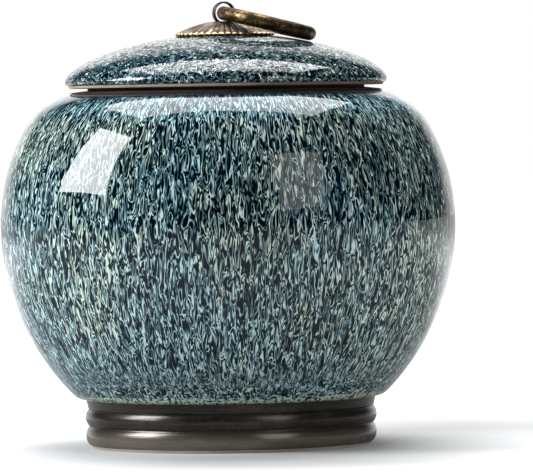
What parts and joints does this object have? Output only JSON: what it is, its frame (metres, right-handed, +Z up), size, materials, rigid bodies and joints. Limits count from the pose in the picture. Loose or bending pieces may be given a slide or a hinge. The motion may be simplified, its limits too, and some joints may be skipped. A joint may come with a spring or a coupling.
{
  "type": "funeral urn",
  "caption": "Round lidded stoneware urn with mottled blue-green glaze, dark ridged foot, low domed lid and an aged brass pull ring on a fluted cap.",
  "frame": {"origin": "on the jar's axis, at the surface that the foot stands on", "axes": "+Z up along the jar's axis, +X the side on which the pull ring lies, -Y the front"},
  "size_m": [0.1352, 0.1352, 0.1318],
  "materials": {
    "jar_glaze": "glossy streaked glaze on stoneware, dark satin foot",
    "lid_glaze": "glossy mottled glaze on stoneware, bare seat",
    "cap_brass": "aged satin",
    "pin_metal": "dark oxidised satin",
    "ring_brass": "aged satin"
  },
  "bodies": {
    "urn": {"jar": "jar_glaze", "lid": "lid_glaze", "cap": "cap_brass", "pin": "pin_metal"},
    "pull_ring": {"ring": "ring_brass"}
  },
  "joints": [
    {"name": "ring_swing", "type": "hinge", "parent": "urn", "child": "pull_ring", "pos_m": [-0.0003, 0, 0.12829], "axis": [0, -1, 0], "range_deg": [0, 208]}
  ]
}
